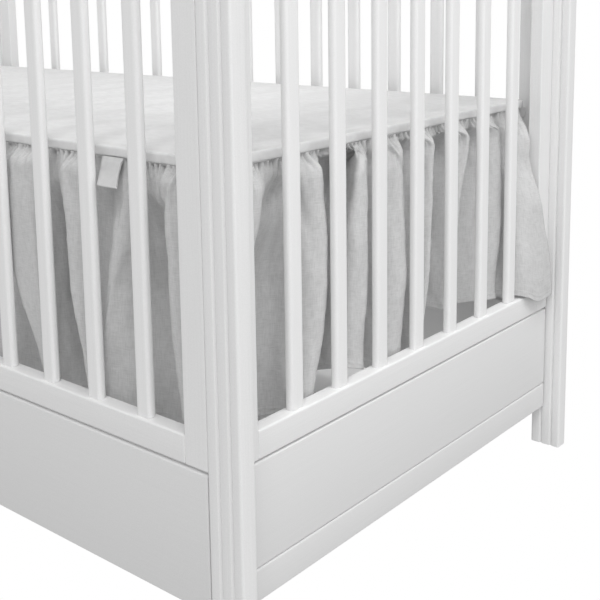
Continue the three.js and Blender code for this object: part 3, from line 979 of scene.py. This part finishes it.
@dataclass
class SkirtPanel:
    """One gathered and hemmed panel of the skirt. Lengths are in millimetres unless they say otherwise."""

    name: str
    folds: tuple[Fold, ...]
    place: Placement
    reach: float  # how far out it may stand without touching the slats
    hem_reach: float  # the same beside the thicker frame below them
    creases: tuple[Crease, ...] = ()
    free_folds: int = 0  # how many of its last folds are pulled out past the slats
    fine: float = 1.85  # distance between columns where it is seen from near
    coarse: float = 4.6
    fine_until: float = math.inf
    seed: int = 1
    seam_height: float = 471.7
    drop: float = 264.7
    rail_clearance: float = 229.0
    rail_blend: float = 75  # how far above that the cloth starts to draw in
    pressing: float = 0.8  # how softly it presses against the slats
    hem_depth: float = 9.0
    stitch_height: float = 6.0  # of the hem's stitch line above its edge
    stitch_pitch: float = 3.4
    stitch_length: float = 2.5
    stitch_radius: float = 0.28
    stitch_margins: Pair = (2, 3)  # from the cloth's edges to the first and the last
    stitch_pull: float = 0.4  # how deep the stitches pull the cloth in
    stitch_pucker: float = 0.45  # how much it puckers beside them
    hem_step: float = 0.45  # how far the doubled cloth of the hem stands out
    smooth_until: float = 40  # the wrinkles reach their full depth this far below the seam
    # A stitch's shape: places along it, and its girth there
    strand: tuple[Pair, ...] = ((0.0, 0.1), (0.15, 0.75), (0.5, 1.0), (0.85, 0.75), (1.0, 0.1))
    strand_sides: int = 6
    thickness: float = 0.6
    gathers: Gathers = Gathers()
    tongue: float = 0.35  # the share of a valley's turn over which the cloth still hangs flat under the seam
    # How far the close rows of points reach, and how far apart they are, under the seam and at the hem
    top_rows: Pair = (44, 1.7)
    hem_rows: Pair = (12, 1.0)
    row_gap: float = 4.6  # between the other rows

    def levels(self) -> Array:
        """Choose how far below the seam the rows lie.

        Returns:
            Distances, from 0 to the whole drop.
        """
        (top, top_gap), (hem, hem_gap) = self.top_rows, self.hem_rows
        low = self.drop - hem
        stretches = ((0, top, top_gap), (top, low, self.row_gap), (low, self.drop, hem_gap))
        return np.concatenate([*(np.arange(*stretch) for stretch in stretches), [self.drop]])

    def fold_curves(self, h: Array) -> Array:
        """Work out where each fold lies at each level.

        A ridge swells out fast under the seam. A valley keeps close to it at first, so a short tongue of cloth
        hangs between two ridges.

        Args:
            h: Distances below the seam.

        Returns:
            An array (folds, 3, levels): distance along, distance out and lift.
        """
        curves = []
        for fold in self.folds:
            stations = [0, fold.turn, self.drop / 2, self.drop]
            along = monotone(stations, [fold.seam, fold.upper, fold.middle, fold.hem], h)
            ridge = 1 - (1 - smoothstep(h / fold.turn)) ** 2
            valley = smoothstep((h / fold.turn - self.tongue) / (1 - self.tongue))
            hanging = monotone(stations[1:], [fold.bulge, fold.belly, fold.flare], h)
            out = np.where(h < fold.turn, fold.bulge * (ridge if fold.bulge > 0 else valley), hanging)
            curves.append((along, out, np.full_like(h, fold.lift)))
        return np.array(curves)

    def surface(self, k: Array, h: Array) -> tuple[Array, Array, Array]:
        """Work out the plain folded surface.

        Args:
            k: Positions counted in folds, one for each column.
            h: Distances below the seam, one for each row.

        Returns:
            Arrays (rows, columns): distance along, distance out and height.
        """
        last = len(self.folds) - 1
        i = np.clip(np.floor(k).astype(int), 0, last - 1)
        t = (k - i)[:, None, None]
        curves = self.fold_curves(h)
        a, b, c, d = (curves[np.clip(i + step, 0, last)] for step in (-1, 0, 1, 2))
        blend = 2 * b + (c - a) * t + (2 * a - 5 * b + 4 * c - d) * t**2 + (3 * b - a - 3 * c + d) * t**3
        along, out, lift = (blend / 2).transpose(1, 2, 0)
        return along, out, self.seam_height - h[:, None] * (self.drop - lift) / self.drop

    def columns(self) -> Array:
        """Space the columns evenly along the cloth, closer where it is seen from near.

        Returns:
            Positions counted in folds.
        """
        k = np.linspace(0, len(self.folds) - 1, 40 * len(self.folds))
        along, out, _ = self.surface(k, np.array([self.drop / 2]))
        step = np.hypot(np.diff(along[0]), np.diff(out[0]))
        wanted = np.where(along[0][1:] < self.fine_until, self.fine, self.coarse)
        count = np.concatenate([[0.0], np.cumsum(step / wanted)])
        return np.interp(np.linspace(0, count[-1], int(count[-1]) + 1), count, k)

    def worked(self, flat: Array, down: Array) -> Array:
        """Wrinkle the cloth, turn up its hem and draw in the stitch line.

        Args:
            flat: Each column's distance along the cloth.
            down: Each row's distance below the seam.

        Returns:
            How far out each point is pushed.
        """
        wrinkled = 0
        for i, w in enumerate(WRINKLES, 1):
            aside, below = flat / w.width + down / w.lean, down / w.length + flat / w.slope
            wrinkled = wrinkled + w.depth * soft_noise(aside, below, self.seed + 10 * i)
        from_stitches = down - self.drop + self.stitch_height
        pucker = np.exp(-((from_stitches / 5) ** 2)) * soft_noise(flat / 5, 0 * flat + 0.5, self.seed + 40)
        hem = smoothstep((down - self.drop + self.hem_depth) / 1.2)
        groove = np.exp(-((from_stitches / 0.9) ** 2))
        sewn = self.stitch_pucker * pucker + self.hem_step * hem - self.stitch_pull * groove
        return smoothstep(down / self.smooth_until) * wrinkled + sewn

    def points(self) -> tuple[Array, Array]:
        """Work out the finished surface.

        Returns:
            Points (rows, columns, 3) in metres, and flat positions (rows, columns, 2) in metres.
        """
        h, k = self.levels(), self.columns()
        along, out, height = self.surface(k, h)
        middle = len(h) // 2
        flat, down = line_distance(np.column_stack([along[middle], out[middle]]))[None, :], h[:, None]
        pushed = self.worked(flat, down) - self.gathers.pressed(along[0], h, self.seed)
        for crease in self.creases:
            pushed -= crease.pressed(along, height)
        points = self.place.at(along, out, height)
        points += self.place.normals(points) * pushed[..., None] * MM
        return self.held_in(points, k), np.stack(np.broadcast_arrays(flat * MM, -down * MM), axis=2)

    def held_in(self, points: Array, k: Array) -> Array:
        """Keep the cloth behind the slats and off the rail below them.

        Args:
            points: The surface's points.
            k: Each column's position, counted in folds.

        Returns:
            The points, moved in where they stood too far out.
        """
        outward = np.array(self.place.outward)
        out = (points - np.array(self.place.start)) @ outward / MM
        low = smoothstep((self.rail_clearance + self.rail_blend - points[..., 2] / MM) / self.rail_blend)
        held = soft_minimum(out, self.reach * (1 - low) + self.hem_reach * low, self.pressing)
        kept = k < len(self.folds) - self.free_folds - 0.5
        return points + np.where(kept, held - out, 0.0)[..., None] * outward * MM

    def stitches(self, points: Array) -> Piece:
        """Sew the hem, one short stitch after another, each a plump strand half sunk in the cloth.

        Args:
            points: The surface's points.

        Returns:
            All the stitches as one piece.
        """
        row = int(np.argmin(np.abs(self.levels() - (self.drop - self.stitch_height))))
        line, normal = points[row], self.place.normals(points)[row]
        distance = line_distance(line)
        length, radius, sides = self.stitch_length * MM, self.stitch_radius * MM, self.strand_sides
        first, last = (margin * MM for margin in self.stitch_margins)
        starts = np.arange(first, distance[-1] - last, self.stitch_pitch * MM)

        def read(where: Array, table: Array) -> Array:
            """Read a table of points or normals at distances along the line."""
            return np.stack([np.interp(where, distance, column) for column in table.T], axis=-1)

        run = read(starts + length, line) - read(starts, line)
        run /= np.linalg.norm(run, axis=1, keepdims=True)
        out = read(starts + length / 2, normal)
        turn = 2 * np.pi * np.arange(sides)[None, :, None] / sides
        around = np.cos(turn) * out[:, None] + np.sin(turn) * np.cross(run, out)[:, None]
        rings = np.stack([
            (read(starts + length * t, line) + out * radius * 0.9)[:, None] + radius * girth * around
            for t, girth in self.strand
        ], axis=1)
        count = len(self.strand) * sides
        faces = closed(quad_numbers(len(self.strand), sides + 1), sides).tolist()
        faces += [list(range(sides))[::-1], list(range(count - sides, count))]
        every = [[base + v for v in face] for base in range(0, count * len(starts), count) for face in faces]
        piece = mesh_object(
            f"{self.name}_hem_thread", rings.reshape(-1, 3), every, np.zeros((sum(map(len, every)), 2))
        )
        return THREAD.mount(piece)

    def build(self) -> list[Piece]:
        """Returns:
            The panel and its thread.
        """
        points, uvs = self.points()
        cloth = sheet_object(f"{self.name}_cloth", points, uvs, self.place.mirrored())
        thicken(cloth, self.thickness * MM, -1)
        LINEN.mount(cloth, self.name)
        thread = self.stitches(points)
        return [cloth, thread]


@dataclass
class Skirt:
    """The four panels, hung from the deck's edge band. Millimetres."""

    cloth: float = 1.5  # the CAD sheet's thickness; the fine cloth lies on its middle
    side_reach: Pair = (15.15, 10.9)  # how far out a long panel may stand by the slats and by the rail
    end_reach: Pair = (21.7, 13.2)
    side_inset: float = 2  # from the band's corner to where a long panel is measured from
    end_inset: float = 5  # from there to a plain end panel's first fold
    near: float = 350  # how much of the front panel is seen from near
    # The plain folds of the stretches that nothing tells apart: their spacing and depth wander slowly
    spacing: float = 74
    wander: float = 7
    ridge: float = 12
    valley: float = -30
    sway: float = 9

    def folds(self, first: float, last: float, phase: float, starts_free: bool = True) -> tuple[Fold, ...]:
        """Lay out plain folds between two places.

        Args:
            first: Where they start along the panel.
            last: Where they end.
            phase: Where in their slow wander they start.
            starts_free: Whether the first is the panel's own edge.

        Returns:
            Ridges and valleys in turn.
        """
        count = 2 * int((last - first) / self.spacing + 0.5)
        folds = []
        for i in range(count + 1):
            inside = (i > 0 or not starts_free) and i < count
            # Two waves of unrelated lengths, so that no two folds are alike
            wave, slow = math.sin(1.7 * i + phase), math.sin(0.61 * i + 2.3 * phase)
            depth = (self.valley if i % 2 else self.ridge) * (1 + 0.22 * slow)
            turn, lift = (40 + 8 * wave, 2.5 * slow - 8) if i % 2 else (25 + 5 * slow, 2.5 * slow)
            seam = first + (last - first) * i / count + inside * self.wander * wave
            places = [seam + inside * self.sway * share for share in (0, 0.4 * slow, slow, slow - wave)]
            outs = (0.85 * depth, depth, 0.75 * depth) if inside else (3, 4, 4)
            folds.append(Fold(*places, *outs, turn, lift))
        return tuple(folds)

    def panels(self) -> list[SkirtPanel]:
        """Lay out the panels.

        Returns:
            Front, right, back and left.
        """
        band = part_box("deck")[1]
        x, y, middle, inset = band.x, band.y, self.cloth / 2 * MM, self.side_inset * MM
        start = FRONT_FOLDS[0].seam
        finish = 2 * (x / MM - self.side_inset) - start
        rest = self.folds(FRONT_FOLDS[-1].seam + self.spacing / 2, finish, 0.8, False)
        left = self.folds(self.end_inset, 2 * y / MM - self.end_inset, 1.7)
        forward, right = Vector((0, 1, 0)), Vector((1, 0, 0))
        long = Placement(Vector((x - inset, middle - y, 0)), -right, -forward)
        short = Placement(Vector((x - middle, -y, 0)), forward, right)
        side, end = self.side_reach, self.end_reach
        near = {"fine_until": self.near}
        return [
            SkirtPanel("skirt_front", FRONT_FOLDS + rest, long, *side, FRONT_CREASES, seed=3, **near),
            SkirtPanel("skirt_right", RIGHT_FOLDS, short, *end, RIGHT_CREASES, FLAP_FOLDS, seed=5),
            SkirtPanel("skirt_back", self.folds(start, finish, 2.9), long.opposite(), *side, fine=4.4, seed=7),
            SkirtPanel("skirt_left", left, short.opposite(), *end, fine=3.4, seed=9),
        ]


@dataclass
class Label:
    """A bare ribbon label, folded at its foot and caught in the front seam. Millimetres."""

    # Down the front layer: distance along the panel at its right and left edge, how far out, and height
    rows: tuple[tuple[float, float, float, float], ...] = (
        (119.5, 151.4, 1.5, 472),
        (118, 147.2, 7, 467.8),
        (115.7, 143.4, 12.5, 459.8),
        (110.6, 138.8, 18.5, 454.2),
        (104.6, 134, 25, 448.3),
    )
    width: float = 30
    gap: float = 1.3  # between its two layers
    thickness: float = 0.3
    curl: float = 0.5
    points: tuple[int, int, int] = (22, 14, 9)  # down a layer, across it, and round the fold with its ends

    def build(self, place: Placement) -> Piece:
        """Args:
            place: The front panel's placement.

        Returns:
            The finished piece.
        """
        t, across, turns = (np.linspace(0, 1, count) for count in self.points)
        stations = np.linspace(0, 1, len(self.rows))
        right, left, out, height = (np.interp(t, stations, values)[:, None] for values in zip(*self.rows))
        along = right + (left - right) * across
        curl = self.curl * (2 * across - 1) ** 2 * t[:, None]
        layer = place.at(along, out - curl, height + 0 * along)
        normal = place.normals(layer)
        down = layer[-1] - layer[-2]
        down /= np.linalg.norm(down, axis=1, keepdims=True)
        half = self.gap / 2 * MM
        turned = math.pi * turns[1:-1]
        bend = [layer[-1] - normal[-1] * half * (1 - math.cos(a)) + down * half * math.sin(a) for a in turned]
        points = np.concatenate([layer, np.array(bend), (layer - normal * 2 * half)[::-1]])
        run = line_distance(points[:, 0])
        uvs = np.stack(np.broadcast_arrays(across[None, :] * self.width * MM, -run[:, None]), axis=2)
        piece = sheet_object("bare_label", points, uvs, place.mirrored())
        thicken(piece, self.thickness * MM, 0)
        SHADED_RIBBON.mount(piece, "label")
        return piece


# ---- The deck cloth and the board under it ----
@dataclass
class DeckCloth:
    """The white cloth over the base board, with soft ridges and a turned-down edge. Millimetres."""

    radius: float = 7.5
    least_radius: float = 0.4  # of the innermost rings' corners
    steps: tuple[int, int, int] = (160, 320, 8)  # round a ring: along an end, along a side, in a corner
    thickness: float = 0.8
    # Up the band and in over its rounded top edge: inset from the outer face, and depth below the top
    band: tuple[Pair, ...] = (
        *((0.9, 10.2), (0.2, 9.8), (0.0, 8.7), (-0.1, 6.4), (0.05, 4.0), (0.25, 2.2), (0.8, 0.9)),
        *((1.8, 0.1), (3.2, -0.3), (5.4, 0.1), (8.5, 0.3)),
    )
    band_turn: float = 5.0  # how far below the top the band is fully upright
    lower_edge: float = 6.0  # how far below the top its sagging lower edge starts
    sagging: Pair = (0.7, 0.15)  # the share of the sag that the lower edge takes, and that the rest takes
    top_start: Pair = (3.0, 12.0)  # how far in the top's relief starts, and over how much it comes up
    first_ring: float = 4.0  # from the band's last ring of points to the top's first
    ring_gap: float = 12.0  # between rings of points on the top
    last_ring: float = 290  # how far in they go
    ridge_gap: float = 79.5
    first_ridge: float = 92.0  # to the right of the crib's middle
    ridge_height: float = 1.5
    sway: Ripples = Ripples(1.1, (120, 150), 54)  # the ridges stray from straight by this part of their wave
    wrinkles: tuple[Ripples, ...] = (Ripples(0.16, (13, 70), 55), Ripples(0.096, (40, 25), 56))
    drawn: Ripples = Ripples(0.4, (7, 6), 51)  # how unevenly the seam draws the band in and out
    drawn_in: float = 0.25  # how far in it draws the band
    sag: tuple[Ripples, ...] = (Ripples(0.5, (60, 1), 52), Ripples(0.25, (11, 1), 53))
    flat: Pair = (1.225, 0.625)  # the cut cloth with its turned-down edges, in metres

    def relief(self, x: Array, y: Array) -> Array:
        """Work out how high the ridges and wrinkles stand at places on the top."""
        waves = np.cos(2 * math.pi * (x - self.first_ridge) / self.ridge_gap + self.sway.at(x, y))
        return self.ridge_height * waves + sum(ripples.at(x, y) for ripples in self.wrinkles)

    def build(self) -> Piece:
        """Returns:
            The finished piece.
        """
        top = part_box("deck")[1]
        edge = self.band[-1][0]
        insets = np.arange(edge + self.first_ring, self.last_ring, self.ring_gap)
        skin, uvs, distance = [], [], None
        for inset, below in (*self.band, *((float(inset), 0.0) for inset in insets)):
            half = (top.x - inset * MM, top.y - inset * MM)
            radius = max(self.radius - inset, self.least_radius) * MM
            outline, normals = rounded_outline(half, radius, self.steps)
            if distance is None:
                distance = line_distance(np.vstack([outline, outline[:1]]))
                around = distance[:-1] / MM
                sag = sum(ripples.at(around, 0 * around) for ripples in self.sag)
            drawn = self.drawn.at(around, 0 * around + below) - self.drawn_in
            drawn = drawn * smoothstep(below / self.band_turn)
            flat = outline + normals * drawn[:, None] * MM
            begin, rise = self.top_start
            relief = self.relief(*outline.T / MM) * smoothstep((inset - begin) / rise)
            raised = sag * self.sagging[below <= self.lower_edge] + relief
            skin.append(np.column_stack([flat, top.z + (raised - below) * MM]))
            down_band = np.column_stack([distance, np.full(len(distance), -below * MM)])
            uvs.append(np.vstack([outline, outline[:1]]) if inset > edge else down_band)
        piece = skin_object("deck_cloth", np.array(skin), np.array(uvs), Ends.LIDDED)
        thicken(piece, self.thickness * MM, -1)
        DECK_COTTON.mount(piece, "deck")
        return piece


def paint_base_board() -> None:
    """Give the base board, which stays as it was modelled, the same lacquer as the crib."""
    materials = bpy.data.objects["base_board"].data.materials
    materials.clear()
    materials.append(LACQUER.material())


# ---- The studio ----
@dataclass(frozen=True)
class Lamp:
    """A square diffuser in front of a studio flash. Metres and watts."""

    name: str
    at: tuple[float, float, float]
    towards: tuple[float, float, float]
    size: float
    power: float

    def hang(self) -> None:
        """Hang the lamp in the scene."""
        panel = bpy.data.lights.new(self.name, "AREA")
        panel.shape = "SQUARE"
        panel.size, panel.energy = self.size, self.power
        holder = bpy.data.objects.new(self.name, panel)
        holder.location = self.at
        backwards = Vector(self.at) - Vector(self.towards)
        holder.rotation_euler = backwards.to_track_quat("Z", "Y").to_euler()
        bpy.context.scene.collection.objects.link(holder)


@dataclass
class Studio:
    """A pale floor that glows onto the crib as painted bounce light, a bright even room, three soft lights and
    the camera.
    """

    room: float = 0.54
    lamps: tuple[Lamp, ...] = (
        Lamp("corner_softbox", (2.3, -2.34, 3.98), (0.5, -0.3, 0.3), 1.92, 92),
        Lamp("right_softbox", (2.2, 0.16, 3.5), (0.6, 0.0, 0.3), 1.92, 41),
        Lamp("low_right_softbox", (4.25, -1.34, 1.36), (0.65, -0.3, 0.4), 1.6, 13),
    )
    floor_size: float = 60.0  # from its middle to its edges, in metres
    floor_glow: float = 0.6  # how strongly the floor glows onto the crib: painted bounce light, an emission standing in for light that the lit paper throws back up
    # Along X and Y: the middle of the floor that the crib shades, how far it reaches, and where light starts
    shaded_floor: tuple[tuple[float, float, float], ...] = ((0.0, 0.3, 0.42), (0.3, 0.25, 0.45))
    camera_at: tuple[float, float, float] = (1.2410, -0.9477, 0.6350)
    yaw: float = 39.822  # degrees to the left of straight ahead along +Y
    pitch: float = 9.002  # degrees down
    roll: float = -0.781
    lens: float = 61.81  # millimetres
    sensor: float = 36
    shift: float = -0.25
    far: float = 200

    def seen_and_lit(self, tree: Tree, lit: Node, seen: Node, output: str) -> None:
        """Let one shader light the crib and another show to the eye.

        Args:
            tree: The node tree that they are in.
            lit: The shader that lights the crib.
            seen: The shader that shows.
            output: The kind of the tree's output node.
        """
        ray = add_node(tree, "LightPath").outputs["Is Camera Ray"]
        add_node(tree, output, {"Surface": add_node(tree, "MixShader", {0: ray, 1: lit, 2: seen})})

    def floor(self) -> None:
        """Lay a wide sheet of paper. To the eye it glows evenly white wherever the crib wouldn't shade it, and
        is matt paper where it would; to everything else it glows, as painted bounce light.
        """
        mesh = bpy.data.meshes.new("floor")
        far = self.floor_size
        mesh.from_pydata([(-far, -far, 0), (far, -far, 0), (far, far, 0), (-far, far, 0)], [], [(0, 1, 2, 3)])
        floor = bpy.data.objects.new("floor", mesh)
        bpy.context.scene.collection.objects.link(floor)
        material = bpy.data.materials.new("White studio paper with painted bounce glow")
        tree = empty_tree(material)
        place = add_node(tree, "SeparateXYZ", {0: add_node(tree, "TexCoord").outputs["Object"]}).outputs
        shaded = 1.0
        for part, (middle, near, far_off) in zip(place, self.shaded_floor):
            beside = add_node(tree, "Math", {0: part, 1: middle}, operation="SUBTRACT")
            away = add_node(tree, "Math", {0: beside}, operation="ABSOLUTE")
            limits = {"Value": away, "From Min": far_off, "From Max": near}
            inside = add_node(tree, "MapRange", limits, interpolation_type="SMOOTHSTEP")
            shaded = add_node(tree, "Math", {0: inside, 1: shaded}, operation="MULTIPLY")
        paper = add_node(tree, "BsdfDiffuse", {"Color": linear("#f4f4f4")})
        # The emission that every ray but the camera's sees is painted bounce light, not light reflected by the
        # paper
        painted_bounce_glow, glow = (add_node(tree, "Emission", {"Strength": each}) for each in (self.floor_glow, 1.0))
        seen = add_node(tree, "MixShader", {0: shaded, 1: glow, 2: paper})
        self.seen_and_lit(tree, painted_bounce_glow, seen, "OutputMaterial")
        mesh.materials.append(material)

    def light(self) -> None:
        """Hang the lamps and fill the room with even light, in front of a plain white background."""
        for lamp in self.lamps:
            lamp.hang()
        world = bpy.data.worlds.new("studio")
        tree = empty_tree(world)
        white = linear("#ffffff")
        lit, seen = (
            add_node(tree, "Background", {"Color": white, "Strength": each}) for each in (self.room, 1.0)
        )
        self.seen_and_lit(tree, lit, seen, "OutputWorld")
        bpy.context.scene.world = world
        bpy.context.scene.view_settings.view_transform = "Standard"

    def camera(self) -> None:
        """Set the camera up."""
        lens = bpy.data.cameras.new("camera")
        lens.lens, lens.sensor_width, lens.shift_y = self.lens, self.sensor, self.shift
        lens.clip_end = self.far
        camera = bpy.data.objects.new("camera", lens)
        turns = ((self.yaw, "Z"), (90 - self.pitch, "X"), (self.roll, "Z"))
        yaw, pitch, roll = (Matrix.Rotation(math.radians(angle), 4, axis) for angle, axis in turns)
        camera.matrix_world = Matrix.Translation(self.camera_at) @ yaw @ pitch @ roll
        bpy.context.scene.collection.objects.link(camera)
        bpy.context.scene.camera = camera

    def build(self) -> None:
        """Set up the floor, the light and the camera."""
        for step in (self.floor, self.light, self.camera):
            step()


def main() -> None:
    """Build every piece, in the order in which the real one goes together."""
    logging.basicConfig(level=logging.INFO, format="%(message)s")
    Studio().build()
    pieces = [Post(place).build() for place in ("front_right", "front_left", "back_right", "back_left")]
    for side in (
        Side("front", Axis.X, 15, LONG_JOINERY),
        Side("back", Axis.X, 15, LONG_JOINERY),
        Side("right", Axis.Y, 7, END_JOINERY),
        Side("left", Axis.Y, 7, END_JOINERY),
    ):
        pieces += side.build()
    paint_base_board()
    pieces.append(DeckCloth().build())
    panels = Skirt().panels()
    for panel in panels:
        pieces += panel.build()
    pieces.append(Label().build(panels[0].place))


if __name__ == "__main__":
    main()
